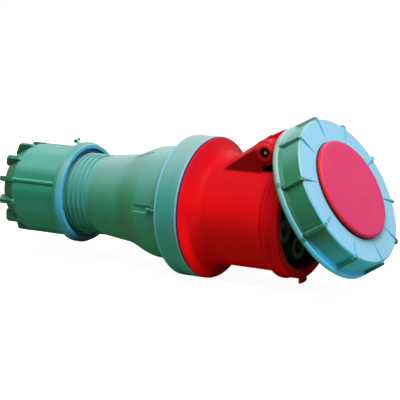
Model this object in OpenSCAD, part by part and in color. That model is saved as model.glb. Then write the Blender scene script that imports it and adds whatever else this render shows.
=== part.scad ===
// Industrial pin and sleeve connector: the socket end for a thick supply cord.
// A gland nut closes the rear of a tapered handle. A red front housing holds the
// contacts, and a hinged lid with a turning bayonet ring closes its mouth.
// Lengths are millimetres. +X is the main axis and points out of the mouth, +Z is up
// towards the lid's hinge, and the origin is the centre of the mouth's front edge.

/* [Front housing] */
// From the joint between the two housings to the mouth
front_len = 101; // [98:1:112]
// Bore that takes the sleeve of the mating plug
bore_r = 49.5; // [48:0.1:51]
// Wall of the front housing
shell_wall = 3.9; // [3.5:0.1:4.6]
// Wall of the collar at the mouth
collar_wall = 7.8; // [7:0.1:8.6]
// Rise of the bead behind the collar
bead_rise = 1.3; // [1:0.1:2]
// From the mouth back to the bead
bead_back = 15; // [12.5:0.5:16]
// Rise of the flanges where the housings meet, above the bore
flange_rise = 19.8; // [18:0.1:22]
// Depth of the plug space, from the mouth to the ledge
plug_depth = 58; // [54:1:62]
// Thickness of the ledge that the contact carrier is screwed to
ledge_t = 10; // [8:0.5:11]
// Width of the ledge
ledge_w = 5; // [4.6:0.1:5.4]
// Length of the spigot that enters the handle
spigot_len = 15; // [12:0.5:18]
// Wall of the spigot
spigot_wall = 3; // [2.6:0.1:3.6]

/* [Bayonet] */
// Rise of the lugs above the collar
lug_rise = 5.7; // [5:0.1:6.2]
// Length of a lug along the main axis
lug_len = 4; // [3:0.5:4.5]
// Width of a lug
lug_w = 9; // [7:0.5:12]
// Angle between the open and the locked position of the ring
lock_turn = 26; // [24:1:27]
// Width of the key slot inside the lowest lug
key_w = 7; // [5:0.5:8]
// Depth of the key slot, outwards from the bore
key_depth = 4.5; // [3:0.5:5]

/* [Hinge] */
// From the mouth back to the hinge pin
hinge_back = 27.3; // [26.5:0.1:28]
// Height of the hinge pin above the bead
hinge_rise = 4.8; // [4.4:0.1:5.4]
// Radius of the hinge pin
pin_r = 2.2; // [2:0.1:3]
// Half of the width over the two cheeks
cheek_half = 31.5; // [29:0.5:34]
// Half of the slot between the cheeks
slot_half = 12.5; // [11:0.5:15]
// Radius of the cheeks round the pin
cheek_r = 12; // [11:0.5:13]
// Rise of the hood in millimetres for each millimetre along the main axis
hood_slope = 0.615; // [0.58:0.005:0.63]
// How far the lid stands open
lid_open = 29; // [0:1:110]

/* [Lid and ring] */
// Gap between the lugs and the inside of the ring's skirt
skirt_gap = 4; // [3.6:0.1:5]
// Wall of the ring's skirt under the flat panels
skirt_wall = 5.2; // [4.6:0.1:6]
// Rise of the ring's rear rim above the panels
rim_rise = 4.4; // [3.6:0.1:5]
// From the mouth back to the ring's rear rim when the lid is closed
skirt_back = 8.5; // [8.3:0.1:8.8]
// From the mouth forward to the ring's front face when the lid is closed
face_ahead = 20; // [19:0.5:23]
// Number of ribs round the ring
ring_ribs = 10; // [8:2:12]
// Width of a rib on the ring
ring_rib_w = 3; // [2:0.5:4]
// Radius of the hub that the ring turns on
hub_r = 45; // [42:0.5:46]
// How far the round front disc laps over the ring
disc_lap = 3.6; // [3:0.1:5]

/* [Handle] */
// From the joint of the housings back to the end of the threaded neck
handle_len = 200; // [196:1:206]
// Length of the threaded neck
neck_len = 76; // [72:1:79]
// Outer radius of the threaded neck
neck_r = 38.8; // [38:0.1:39.4]
// Rise of the barrel above the neck
barrel_rise = 2.4; // [2:0.1:3]
// From the joint of the housings back to the start of the flare
flare_back = 92; // [88:1:96]
// From the joint of the housings back to the wide part in front of the flare
swell_back = 57; // [54:1:60]
// Wall of the wide part
swell_wall = 6.1; // [5.5:0.1:7]
// Length of the handle's flange
flange_len = 26.5; // [24:0.5:30]

/* [Gland nut] */
// How far the nut reaches forward over the neck
nut_over = 47.7; // [45:0.1:50]
// Overall length of the nut
nut_len = 88.7; // [87:0.1:92]
// Wall of the nut's body over the thread
nut_wall = 3.8; // [3.4:0.1:4.6]
// Rise of the rim round the nut's front
nut_rim_rise = 6.1; // [5:0.1:7]
// Rise of the fins above the nut's body
fin_rise = 1.4; // [1:0.1:2.4]
// Thickness of a fin
fin_t = 4.4; // [3.4:0.2:5.4]
// Number of fins
fin_count = 12; // [8:4:16]
// Radius of the cord hole in the grommet
cord_r = 16; // [12:0.5:18]

/* [Contacts] */
// Room for the plug's sleeve and half a tower, inwards from the bore
plug_way = 21; // [20:0.1:22]
// Number of contacts round the circle
contact_count = 5; // [4:1:5]
// Radius of a phase contact's bore
phase_bore_r = 5; // [4.6:0.1:5.2]
// Radius of the earth contact's bore
earth_bore_r = 6; // [5.6:0.1:6.2]
// Radius of the pilot contact's bore
pilot_bore_r = 3; // [2.5:0.1:3.2]
// Wall of the contact tubes
contact_wall = 2.4; // [2:0.1:2.6]
// From the mouth back to the front of the contact towers
tower_back = 8; // [6:0.5:12]

/* [Hidden] */

$fn = 96;
eps = 0.5;

// Clearances
seat_gap = 0.2;
run_gap = 0.05;
hole_gap = 0.3;

// Stations along the main axis
seam_x = -front_len;
ledge_x = -plug_depth;
ledge_rear_x = ledge_x - ledge_t;
bead_x = -bead_back;
neck_x = seam_x - handle_len;
nut_x = neck_x + nut_over;
nut_rear_x = nut_x - nut_len;

// Radii that stand on the bore and on the neck
seat_r = bore_r + 0.5;
shell_r = bore_r + shell_wall;
collar_r = bore_r + collar_wall;
bead_r = collar_r + bead_rise;
lug_r = collar_r + lug_rise;
ledge_r = bore_r - ledge_w;
spigot_r = seat_r + spigot_wall;
socket_r = spigot_r + hole_gap;
flange_r = bore_r + flange_rise;
swell_r = bore_r + swell_wall;
skirt_r = lug_r + skirt_gap;
panel_r = skirt_r + skirt_wall;
rim_r = panel_r + rim_rise;
disc_r = hub_r + disc_lap;
barrel_r = neck_r + barrel_rise;
contact_ring_r = bore_r - plug_way;
hinge = [-hinge_back, 0, bead_r + hinge_rise];

// Angles of the three lugs, counted upwards from the near side
lug_angles = [44, 136, 270];
// Angles of the screws through the ledge
ledge_screw_angles = [45, 135, 225, 315];

// A point on a curve with two end points and one control point
function bend(a, b, c, n) = [for (i = [0 : n]) let (t = i / n)
    (1 - t) * (1 - t) * a + 2 * t * (1 - t) * b + t * t * c];
// A point on a curve with two end points and two control points
function sweep(a, b, c, d, n) = [for (i = [0 : n]) let (t = i / n)
    pow(1 - t, 3) * a + 3 * t * pow(1 - t, 2) * b + 3 * t * t * (1 - t) * c + pow(t, 3) * d];

// Turns a profile of [station, radius] points round the main axis
module spin(profile) {
    rotate([0, 90, 0])
        rotate_extrude()
            polygon([for (p = profile) [p[1], p[0]]]);
}

// The same, for a sector of half angle h about the top
module sector(profile, h) {
    rotate([0, 90, 0])
        rotate([0, 0, 180 - h])
            rotate_extrude(angle = 2 * h)
                polygon([for (p = profile) [p[1], p[0]]]);
}

// A round bar along the main axis from station a to station b
module bar(a, b, r) {
    translate([a, 0, 0])
        rotate([0, 90, 0])
            cylinder(h = b - a, r = r);
}

// A plate in the vertical plane through the main axis, t thick
module plate(profile, t) {
    translate([0, t / 2, 0])
        rotate([90, 0, 0])
            linear_extrude(height = t)
                polygon(profile);
}

// Puts its child at an angle that is counted upwards from the near side
module at_angle(a) {
    rotate([90 - a, 0, 0])
        children();
}

// Swings the lid's pieces from the closed place to the open one
module swung() {
    translate(hinge)
        rotate([0, -lid_open, 0])
            translate(-hinge)
                children();
}

// Gland nut
fin_len = 23;
fin_reach = 5.5;
fin_first = 18;
fin_pitch = 360 / fin_count;
long_rib_count = 4;
long_rib_r = 1.9;
nut_wall_x = nut_rear_x + fin_reach;
nut_cone_x = nut_rear_x + fin_len;
nut_bore_r = neck_r + 2.8;
nut_pocket_r = nut_bore_r - 1.6;
nut_r = nut_bore_r + nut_wall;
nut_cone_r = nut_r - 7.9;
nut_rim_r = nut_r + nut_rim_rise;
fin_r = nut_r + fin_rise;
nut_floor_x = nut_wall_x + 13.5;
pocket_len = 18;
seal_seat_r = neck_r - 6.8;
cord_way_r = seal_seat_r - 2;
rim_t = 6.5;
rim_x = nut_x - 4.4;
notch_angles = [84, -12];
screw_lean = 45;
lock_r = 1.6;
lock_foot = [nut_x - 9.7, 0, nut_rim_r - 4.5];
lock_len = 8;
lock_head_r = 3.5;
lock_head_t = 1.8;

module fin() {
    plate([[nut_rear_x, cord_way_r + 4], [nut_rear_x, nut_cone_r - 0.5],
           [nut_wall_x + 0.5, fin_r], [nut_cone_x, fin_r],
           [nut_cone_x + 2, nut_r - 1.2], [nut_cone_x + 2, cord_way_r + 4]], fin_t);
}

module lock_screw_shape(gap) {
    translate(lock_foot)
        rotate([0, -screw_lean, 0])
            cylinder(h = lock_len, r = lock_r + gap, $fn = 32);
}

module gland_nut() {
    color("#4f9c84")
    difference() {
        union() {
            // Body with one flat under each fin
            intersection() {
                spin([[nut_wall_x, 0], [nut_wall_x, nut_cone_r], [nut_cone_x, nut_r],
                      [nut_x, nut_r], [nut_x, 0]]);
                at_angle(fin_first + fin_pitch / 2)
                    bar(nut_wall_x - eps, nut_x + eps, (nut_r - 0.8) / cos(fin_pitch / 2),
                        $fn = fin_count);
            }
            spin([[rim_x - rim_t - 3, nut_bore_r + 1], [rim_x - rim_t - 3, nut_r - 1],
                  [rim_x - rim_t, nut_rim_r - 2.5], [rim_x - rim_t + 1.5, nut_rim_r],
                  [rim_x - 0.6, nut_rim_r], [rim_x, nut_rim_r - 0.3],
                  [nut_x - 0.5, nut_rim_r - 1.9], [nut_x, nut_rim_r - 2.4],
                  [nut_x, nut_r + 0.2], [nut_x - 3.5, nut_r - 0.2], [nut_x - 4.5, nut_bore_r + 1]]);
            for (i = [0 : fin_count - 1])
                at_angle(fin_first + i * fin_pitch)
                    fin();
            // Four of the fins run on as thin ribs as far as the rim
            for (i = [0 : long_rib_count - 1])
                at_angle(fin_first + i * 360 / long_rib_count)
                    translate([0, 0, fin_r - long_rib_r])
                        bar(nut_cone_x, rim_x - rim_t + 1, long_rib_r, $fn = 32);
        }
        bar(nut_floor_x + pocket_len, nut_x + eps, nut_bore_r);
        bar(nut_floor_x, nut_floor_x + pocket_len + eps, nut_pocket_r);
        spin([[nut_rear_x - eps, 0], [nut_rear_x - eps, cord_way_r + 3], [nut_wall_x + 2, cord_way_r],
              [nut_floor_x + eps, cord_way_r], [nut_floor_x + eps, 0]]);
        // Counterbore inside the rim, with two small notches in its edge
        spin([[nut_x - 4, nut_bore_r - eps], [nut_x - 4, nut_bore_r + 2], [nut_x - 3, nut_r - 0.4],
              [nut_x + eps, nut_r + 0.3], [nut_x + eps, nut_bore_r - eps]]);
        for (a = notch_angles)
            at_angle(a)
                translate([nut_x - 2.5, -1, nut_r - 1])
                    cube([3, 2, 2.4]);
        lock_screw_shape(run_gap);
    }
}

module gland_lock_screw() {
    color("silver")
    difference() {
        union() {
            lock_screw_shape(0);
            translate(lock_foot)
                rotate([0, -screw_lean, 0])
                    translate([0, 0, lock_len])
                        cylinder(h = lock_head_t, r = lock_head_r, $fn = 32);
        }
        translate(lock_foot)
            rotate([0, -screw_lean, 0])
                translate([-lock_head_r, -0.5, lock_len + lock_head_t - 0.8])
                    cube([2 * lock_head_r, 1, 1]);
    }
}

// Gland: a ring pushed by the nut squeezes the grommet into the neck
seal_seat_len = 16;
seal_stand = 6;
seal_x = neck_x - seal_stand;
seal_front_x = neck_x + seal_seat_len - seat_gap;
seal_r = seal_seat_r - seat_gap;

module thrust_ring() {
    color("dimgray")
    spin([[nut_floor_x + run_gap, cord_way_r - 4], [nut_floor_x + run_gap, nut_pocket_r - 0.4],
          [seal_x - 2, nut_pocket_r - 0.4], [seal_x - 2, seal_r], [seal_x, seal_r],
          [seal_x, cord_way_r - 6], [seal_x - 3, cord_way_r - 6]]);
}

module gland_seal() {
    color("#202020")
    difference() {
        spin([[seal_x, 0], [seal_x, seal_r], [seal_front_x - 3, seal_r],
              [seal_front_x, seal_r - 3.5], [seal_front_x, 0]]);
        bar(seal_x - eps, seal_front_x + eps, cord_r);
        for (r = [cord_r + 4, cord_r + 9])
            spin([[seal_x - eps, r], [seal_x - eps, r + 1], [seal_x + 4, r + 1], [seal_x + 4, r]]);
    }
}

// Handle
neck_end_x = neck_x + neck_len;
barrel_x = neck_end_x + 1.5;
flare_x = seam_x - flare_back;
swell_x = seam_x - swell_back;
flange_rear_x = seam_x - flange_len;
flange_groove_x = seam_x - 16;
flange_groove_w = 4;
flange_groove_depth = 0.4;
gasket_t = 1;
handle_bore_r = bore_r;
side_groove_w = 7;
side_groove_len = 24;
side_screw_r = 1.9;
side_screw_y = socket_r + side_screw_r + 2.8;
side_screw_z = 2.5;
side_seat_x = flange_rear_x - 11.5;
side_bite = 7;
side_head_r = 2.8;
pad_rise = 0.5;
pad_half = 20;

flare = sweep([flare_x, barrel_r + 3.4], [flare_x + 12, barrel_r + 4.7],
              [swell_x - 15, swell_r - 3.1], [swell_x, swell_r], 8);
handle_outline = concat(
    [[neck_x, neck_r - 1.5], [neck_x + 1.5, neck_r], [neck_end_x, neck_r], [barrel_x, barrel_r],
     [(barrel_x + flare_x) / 2, barrel_r + 1.8]],
    flare,
    [[flange_rear_x - 11.5, swell_r + 1.6]],
    bend([flange_rear_x - 9.5, swell_r + 1.9], [flange_rear_x - 1, swell_r + 3],
         [flange_rear_x, flange_r - 3], 4),
    [[flange_rear_x + 0.2, flange_r - 1.2], [flange_rear_x + 1.4, flange_r],
     [flange_groove_x - 1, flange_r], [flange_groove_x, flange_r - flange_groove_depth],
     [flange_groove_x + flange_groove_w, flange_r - flange_groove_depth],
     [flange_groove_x + flange_groove_w + 1, flange_r], [seam_x - gasket_t - 0.8, flange_r],
     [seam_x - gasket_t, flange_r - 0.7]]);
handle_inside = [
    [neck_x - eps, seal_seat_r], [neck_x + seal_seat_len, seal_seat_r],
    [neck_x + seal_seat_len, seal_seat_r - 5], [neck_x + seal_seat_len + 4, seal_seat_r - 5],
    [neck_x + seal_seat_len + 8, seal_seat_r + 1.5], [neck_end_x + 4, neck_r - 4.3],
    [flare_x - 8, barrel_r - 3.2], [flare_x + 4, barrel_r - 1.2], [swell_x - 3, handle_bore_r],
    [seam_x - spigot_len - seat_gap, handle_bore_r],
    [seam_x - spigot_len - seat_gap, socket_r], [seam_x + eps, socket_r]];

module handle_shell() {
    color("#4f9c84")
    difference() {
        union() {
            spin(concat([[neck_x, 0]], handle_outline, [[seam_x - gasket_t, 0]]));
            // Low pad along the top of the flare
            intersection() {
                sector(concat([[flare_x + 6, barrel_r]],
                              [for (p = flare) if (p[0] > flare_x + 6) [p[0], p[1] + pad_rise]],
                              [[swell_x + 4, swell_r + pad_rise], [swell_x + 8, swell_r - 1]]),
                       pad_half);
                bar(flare_x, seam_x, swell_r + pad_rise - 0.7);
            }
        }
        spin(concat([[neck_x - eps, 0]], handle_inside, [[seam_x + eps, 0]]));
        for (s = [-1, 1])
            translate([0, s * side_screw_y, side_screw_z]) {
                // Groove that gives a screwdriver its way to the housing screw
                translate([side_seat_x - side_groove_len, s > 0 ? -side_head_r - 0.7 : -12,
                           -side_groove_w / 2])
                    cube([side_groove_len, side_head_r + 12.7, side_groove_w]);
                bar(side_seat_x - eps, seam_x, side_screw_r + run_gap, $fn = 32);
            }
    }
}

// The gasket lies outside the housing screws
gasket_in_r = norm([side_screw_y, side_screw_z]) + side_screw_r + 0.4;

module housing_gasket() {
    color("#30263a")
    spin([[seam_x - gasket_t, gasket_in_r], [seam_x - gasket_t, flange_r - 1.5],
          [seam_x, flange_r - 1.5], [seam_x, gasket_in_r]]);
}

module cap_screw(shank_r, shank_len, head_r, head_t) {
    difference() {
        union() {
            bar(0, shank_len, shank_r, $fn = 32);
            bar(-head_t, 0, head_r, $fn = 32);
        }
        bar(-head_t - eps, -head_t * 0.45, shank_r * 0.8, $fn = 6);
    }
}

module housing_screws() {
    color("silver")
    for (s = [-1, 1])
        translate([side_seat_x, s * side_screw_y, side_screw_z])
            cap_screw(side_screw_r, seam_x - side_seat_x + side_bite, side_head_r, 3);
}

// Front housing
flange_face_x = seam_x + 9;
foot_r = shell_r + 5;
flare_end_x = seam_x + 18;
hood_start_r = shell_r - 1.5;
hood_end_x = hinge[0] - 3.7;
hood_end_r = norm([hinge[2] + cheek_r, cheek_half]) - 3.7 * hood_slope;
hood_x0 = hood_end_x - (hood_end_r - hood_start_r) / hood_slope;
crest_r = 22;
bead_ramp = 8.5;
bead_ramp_mid = 5;
lug_back = 1;
key_slot_len = bead_back - 0.5;
pin_recess_r = pin_r + 1.9;
carrier_hole_r = bore_r - ledge_w / 2;
carrier_screw_r = 1.5;
carrier_head_r = 2.2;
carrier_bite = 7;

module lug() {
    translate([-lug_len - lug_back, -lug_w / 2, collar_r - 3])
        difference() {
            cube([lug_len, lug_w, lug_r - collar_r + 3]);
            // Bevel that leads the ring's hooks in
            translate([lug_len, -eps, lug_r - collar_r + 3 - 2.4])
                rotate([0, -45, 0])
                    cube([4, lug_w + 2 * eps, 5]);
        }
}

module hood() {
    difference() {
        union() {
            intersection() {
                spin([[hood_x0, 0], [hood_x0, hood_start_r], [hood_end_x, hood_end_r],
                      [hood_end_x, 0]]);
                translate([hood_x0, -cheek_half, bore_r - 7])
                    cube([hood_end_x - hood_x0, 2 * cheek_half, hinge[2]]);
            }
            translate(hinge)
                rotate([90, 0, 0])
                    cylinder(h = 2 * cheek_half, r = cheek_r, center = true);
            // Low round boss about each end of the pin
            translate(hinge)
                rotate([90, 0, 0])
                    cylinder(h = 2 * cheek_half + 1.6, r = cheek_r - 3.5, center = true);
        }
        // Slot for the lid's knuckle
        translate(hinge)
            rotate([90, 0, 0])
                cylinder(h = 2 * slot_half, r = crest_r + 0.6, center = true);
        translate([hinge[0], -slot_half, 0])
            cube([hinge_back, 2 * slot_half, 2 * hinge[2]]);
    }
}

module front_body() {
    color("#d81622")
    difference() {
        union() {
            spin(concat(
                [[seam_x - spigot_len, 0], [seam_x - spigot_len, spigot_r - 1],
                 [seam_x - spigot_len + 1, spigot_r], [seam_x, spigot_r],
                 [seam_x, flange_r - 0.7]],
                bend([seam_x + 0.7, flange_r - 0.1], [seam_x + 2.4, flange_r - 0.2],
                     [seam_x + 4.4, flange_r - 4], 3),
                bend([flange_face_x, foot_r], [flange_face_x + foot_r - shell_r, shell_r],
                     [flare_end_x, shell_r], 4),
                bend([bead_x - bead_ramp, shell_r], [bead_x - bead_ramp_mid, shell_r],
                     [bead_x - 3.6, shell_r + 2], 3),
                [[bead_x - 1.4, bead_r - 0.5], [bead_x - 0.6, bead_r], [bead_x + 0.7, bead_r],
                 [bead_x + 1.6, bead_r - 0.6], [bead_x + 2.6, collar_r - 0.6],
                 [bead_x + 5.6, collar_r - 0.6], [bead_x + 6.2, collar_r],
                 [-1.2, collar_r], [0, collar_r - 1.2], [0, 0]]));
            for (a = lug_angles)
                at_angle(a)
                    lug();
            hood();
        }
        bar(ledge_x, eps, bore_r);
        bar(ledge_rear_x - eps, ledge_x + eps, ledge_r);
        bar(seam_x - spigot_len - eps, ledge_rear_x, seat_r);
        // Key slot inside the lowest lug
        translate([-key_slot_len, -key_w / 2, -bore_r - key_depth])
            cube([key_slot_len + eps, key_w, key_depth + 4]);
        // Pin bore through both cheeks, with a recess at each end
        translate(hinge)
            rotate([90, 0, 0])
                cylinder(h = 4 * cheek_half, r = pin_r + run_gap, center = true, $fn = 48);
        for (s = [-1, 1])
            translate([hinge[0], s * (cheek_half + 1), hinge[2]])
                rotate([90, 0, 0])
                    cylinder(h = 11, r = pin_recess_r, center = true, $fn = 48);
        for (a = ledge_screw_angles)
            at_angle(a)
                translate([0, 0, carrier_hole_r])
                    bar(ledge_rear_x - eps, ledge_rear_x + carrier_bite + 1,
                        carrier_screw_r + run_gap, $fn = 32);
        for (s = [-1, 1])
            translate([0, s * side_screw_y, side_screw_z])
                bar(seam_x - eps, seam_x + side_bite + eps, side_screw_r + run_gap, $fn = 32);
    }
}

// Contact carrier: a plate with one sleeve for each contact, and a rear block
base_t = 8;
base_x = ledge_rear_x - base_t;
base_r = seat_r - hole_gap;
tube_gap = 0.2;
tower_gap = 0.8;
tower_wall = 2.8;
tower_foot_t = 2.5;
tower_foot = 2;
tower_lip = 3;
phase_tube_r = phase_bore_r + contact_wall;
earth_tube_r = earth_bore_r + contact_wall;
pilot_tube_r = pilot_bore_r + contact_wall - 0.8;
tower_front_x = -tower_back;
pilot_back = 11;
rear_r = carrier_hole_r - carrier_head_r - 1.2;
rear_t = 22;
rear_x = base_x - rear_t;
collar_len = 6;
collar_rise = 2.1;
tail_rise = 0.6;
slit_len = 24;
slit_w = 0.8;
spring_back = 6;
spring_w = 1.6;
spring_t = 0.5;
half_screw_ring = contact_ring_r + 7.5;
half_screw_bite = 6;
half_screw_head_t = 2;

// Angles of the contacts, with the earth contact first, at the lowest place
function contact_angle(i) = 270 + i * 360 / contact_count;
// The two screws between the carrier's halves stand between neighbouring contacts
half_screw_angles = [contact_angle(1.5), contact_angle(3.5)];
function tube_r(i) = i == 0 ? earth_tube_r : phase_tube_r;
function hole_r(i) = i == 0 ? earth_bore_r : phase_bore_r;

module at_contact(i) {
    at_angle(contact_angle(i))
        translate([0, 0, contact_ring_r])
            children();
}

// Outer shape of one contact sleeve, larger by gap for its hole
module tower_shape(tube, front_x, gap) {
    bar(base_x - gap, front_x, tube + tower_gap + tower_wall + gap, $fn = 64);
    bar(base_x - gap, base_x + tower_foot_t + gap,
        tube + tower_gap + tower_wall + tower_foot + gap, $fn = 64);
}

// One contact sleeve, wider inside than its contact so that the contact can spring
module tower(tube, hole, front_x) {
    difference() {
        tower_shape(tube, front_x, 0);
        bar(base_x - eps, ledge_rear_x, tube + tube_gap, $fn = 64);
        bar(ledge_rear_x - eps, front_x - tower_lip, tube + tower_gap, $fn = 64);
        bar(front_x - tower_lip - eps, front_x + eps, hole + 0.6, $fn = 64);
    }
}

module contact_tower(i) {
    color("#24443c")
    at_contact(i)
        tower(tube_r(i), hole_r(i), tower_front_x);
}

// The neutral stands next to the earth, and the lines follow round the circle
module line_sleeves() {
    for (i = [2 : contact_count - 1])
        contact_tower(i);
}

module neutral_sleeve() {
    contact_tower(1);
}

module earth_sleeve() {
    contact_tower(0);
}

module pilot_sleeve() {
    color("#24443c")
    tower(pilot_tube_r, pilot_bore_r, tower_front_x - pilot_back);
}

module carrier_plate() {
    color("#24443c")
    difference() {
        bar(base_x, ledge_rear_x, base_r);
        for (i = [0 : contact_count - 1])
            at_contact(i)
                tower_shape(tube_r(i), tower_front_x, run_gap);
        tower_shape(pilot_tube_r, tower_front_x, run_gap);
        for (a = ledge_screw_angles)
            at_angle(a)
                translate([0, 0, carrier_hole_r])
                    bar(base_x - eps, ledge_rear_x + eps, carrier_screw_r + run_gap, $fn = 32);
        for (a = half_screw_angles)
            at_angle(a)
                translate([0, 0, half_screw_ring])
                    bar(base_x - eps, base_x + half_screw_bite + eps, carrier_screw_r + run_gap, $fn = 32);
    }
}

module insert_rear() {
    color("#202422")
    difference() {
        bar(rear_x, base_x, rear_r);
        for (i = [0 : contact_count - 1])
            at_contact(i) {
                bar(rear_x - eps, base_x + eps, tube_r(i) + tail_rise + tube_gap, $fn = 64);
                bar(base_x - collar_len, base_x + eps, tube_r(i) + collar_rise + tube_gap, $fn = 64);
            }
        bar(rear_x - eps, base_x + eps, pilot_tube_r + tail_rise + tube_gap, $fn = 48);
        bar(base_x - collar_len, base_x + eps, pilot_tube_r + collar_rise + tube_gap, $fn = 48);
        for (a = half_screw_angles)
            at_angle(a)
                translate([0, 0, half_screw_ring])
                    bar(rear_x - eps, base_x + eps, carrier_screw_r + run_gap, $fn = 32);
        // Waist between the terminals, which keeps the wires apart
        for (i = [0 : contact_count - 1])
            at_angle(contact_angle(i) + 180 / contact_count)
                translate([rear_x - eps, -1.5, half_screw_ring + 4])
                    cube([9, 3, 8]);
    }
}

// Spring ring that sits half sunk in a sleeve contact, larger by gap for its groove
module spring_ring(tube, front_x, gap) {
    rear = front_x - spring_back - spring_w / 2 - gap;
    spin([[rear, tube - spring_t - gap], [rear, tube + spring_t + gap],
          [rear + spring_w + 2 * gap, tube + spring_t + gap],
          [rear + spring_w + 2 * gap, tube - spring_t - gap]]);
}

// One sleeve contact with its wire terminal, bored from both ends
module sleeve(bore, tube, front_x, tail) {
    difference() {
        union() {
            bar(rear_x - tail, front_x, tube, $fn = 64);
            bar(rear_x - tail, base_x - collar_len, tube + tail_rise, $fn = 64);
            bar(base_x - collar_len, base_x, tube + collar_rise, $fn = 64);
        }
        bar(ledge_x - 1, front_x + eps, bore, $fn = 64);
        bar(rear_x - tail - eps, rear_x - tail + wire_depth, bore + tail_rise, $fn = 64);
        // Cross slits that let the sleeve spring onto the pin
        for (a = [0, 90])
            rotate([a, 0, 0])
                translate([front_x - slit_len, -slit_w / 2, -tube - 1])
                    cube([slit_len + eps, slit_w, 2 * tube + 2]);
        // Groove for the spring ring
        spring_ring(tube, front_x, 0.1);
        // Tapped hole for the terminal screw
        if (tail > 0)
            translate([rear_x - tail + terminal_screw_back, 0, 0])
                cylinder(h = tube + 5, r = terminal_screw_r + run_gap, $fn = 32);
    }
}

contact_front_x = tower_front_x - 3.2;
pilot_front_x = tower_front_x - pilot_back - 3.2;
terminal_tail = 20;
terminal_screw_back = 7;
wire_depth = 18;
terminal_screw_r = 2.6;

module phase_contacts() {
    color("#b98b3c")
    for (i = [1 : contact_count - 1])
        at_contact(i)
            sleeve(phase_bore_r, phase_tube_r, contact_front_x, terminal_tail);
}

module earth_contact() {
    color("#b98b3c")
    at_contact(0)
        sleeve(earth_bore_r, earth_tube_r, contact_front_x, terminal_tail);
}

module pilot_contact() {
    color("#b98b3c")
    sleeve(pilot_bore_r, pilot_tube_r, pilot_front_x, 0);
}

module contact_springs() {
    color("silver") {
        for (i = [0 : contact_count - 1])
            at_contact(i)
                spring_ring(tube_r(i), contact_front_x, 0);
        spring_ring(pilot_tube_r, pilot_front_x, 0);
    }
}

module terminal_screws() {
    color("silver")
    for (i = [0 : contact_count - 1])
        at_contact(i)
            translate([rear_x - terminal_tail + terminal_screw_back, 0, hole_r(i) + 0.2])
                difference() {
                    cylinder(h = 6.5, r = terminal_screw_r, $fn = 32);
                    translate([-terminal_screw_r, -0.4, 5.5])
                        cube([2 * terminal_screw_r, 0.8, 2]);
                }
}

module insert_screws() {
    color("silver")
    for (a = half_screw_angles)
        at_angle(a)
            translate([rear_x, 0, half_screw_ring])
                cap_screw(carrier_screw_r, rear_t + half_screw_bite, carrier_head_r + 0.4,
                          half_screw_head_t);
}

module carrier_screws() {
    color("silver")
    for (a = ledge_screw_angles)
        at_angle(a)
            translate([base_x, 0, carrier_hole_r])
                cap_screw(carrier_screw_r, base_t + carrier_bite, carrier_head_r, half_screw_head_t);
}

// Hinge
module hinge_pin() {
    color("silver")
    translate(hinge)
        rotate([90, 0, 0])
            cylinder(h = 2 * (cheek_half - 1), r = pin_r, center = true, $fn = 48);
}

// Lid, modelled in its closed place
knuckle_r = 8;
knuckle_half = slot_half - 0.5;
strap_half = 10;
strap_drop = 2.7;
strap_z = hinge[2] - strap_drop;
strap_t = 4;
crest_a = 37;
gasket_gap = 0.4;
cap_front_x = face_ahead - 4;
cap_t = 8;
cap_r = skirt_r - 2.5;
rib_front = 0.7;
groove_in_r = bore_r - 0.1;
groove_out_r = collar_r - 0.1;
disc_spigot_r = 20;
disc_t = 5.6;
disc_undercut = 1.4;
spigot_in = 3.3;

module lid_cap() {
    color("#c8141f")
    swung()
        difference() {
            union() {
                spin([[cap_front_x - cap_t, 0], [cap_front_x - cap_t, cap_r - 1],
                      [cap_front_x - cap_t + 1, cap_r], [cap_front_x, cap_r], [cap_front_x, hub_r],
                      [face_ahead - 0.4, hub_r], [face_ahead - 0.4, 0]]);
                // Two walls that hold the gasket
                spin([[1.8, groove_out_r], [1.8, groove_out_r + 2], [cap_front_x - 4, groove_out_r + 2],
                      [cap_front_x - 4, groove_out_r]]);
                spin([[1.8, groove_in_r - 2], [1.8, groove_in_r], [cap_front_x - 4, groove_in_r],
                      [cap_front_x - 4, groove_in_r - 2]]);
                // Strap from the cap back to the knuckle
                translate([hinge[0], -strap_half, strap_z])
                    cube([cap_front_x - hinge[0], 2 * strap_half, strap_t]);
                translate(hinge) {
                    rotate([90, 0, 0])
                        cylinder(h = 2 * knuckle_half, r = knuckle_r, center = true);
                    // Crest that fills the slot between the cheeks
                    plate([[-knuckle_r + 0.2, 1], [1.3, 14.4],
                           [crest_r * cos(crest_a), crest_r * sin(crest_a)],
                           [crest_r * cos(crest_a), -strap_drop], [0, -strap_drop]], 2 * knuckle_half);
                }
            }
            translate(hinge)
                rotate([90, 0, 0])
                    cylinder(h = 3 * knuckle_half, r = pin_r + run_gap, center = true, $fn = 48);
            // Recess for the disc's spigot
            bar(face_ahead - spigot_in - seat_gap, face_ahead + eps, disc_spigot_r + seat_gap);
        }
}

module lid_gasket() {
    color("#202020")
    swung()
        spin([[gasket_gap, groove_in_r + 0.8], [gasket_gap, groove_out_r - 0.8],
              [gasket_gap + 1, groove_out_r - 0.1], [cap_front_x - cap_t, groove_out_r - 0.1],
              [cap_front_x - cap_t, groove_in_r + 0.1], [gasket_gap + 1, groove_in_r + 0.1]]);
}

hook_half = 8;
hook_r = collar_r + 3.5;
hook_front_x = -lug_back - lug_len - 0.7;
ring_gap = 0.3;
rim_x1 = 5;
rim_x2 = 8;

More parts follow.
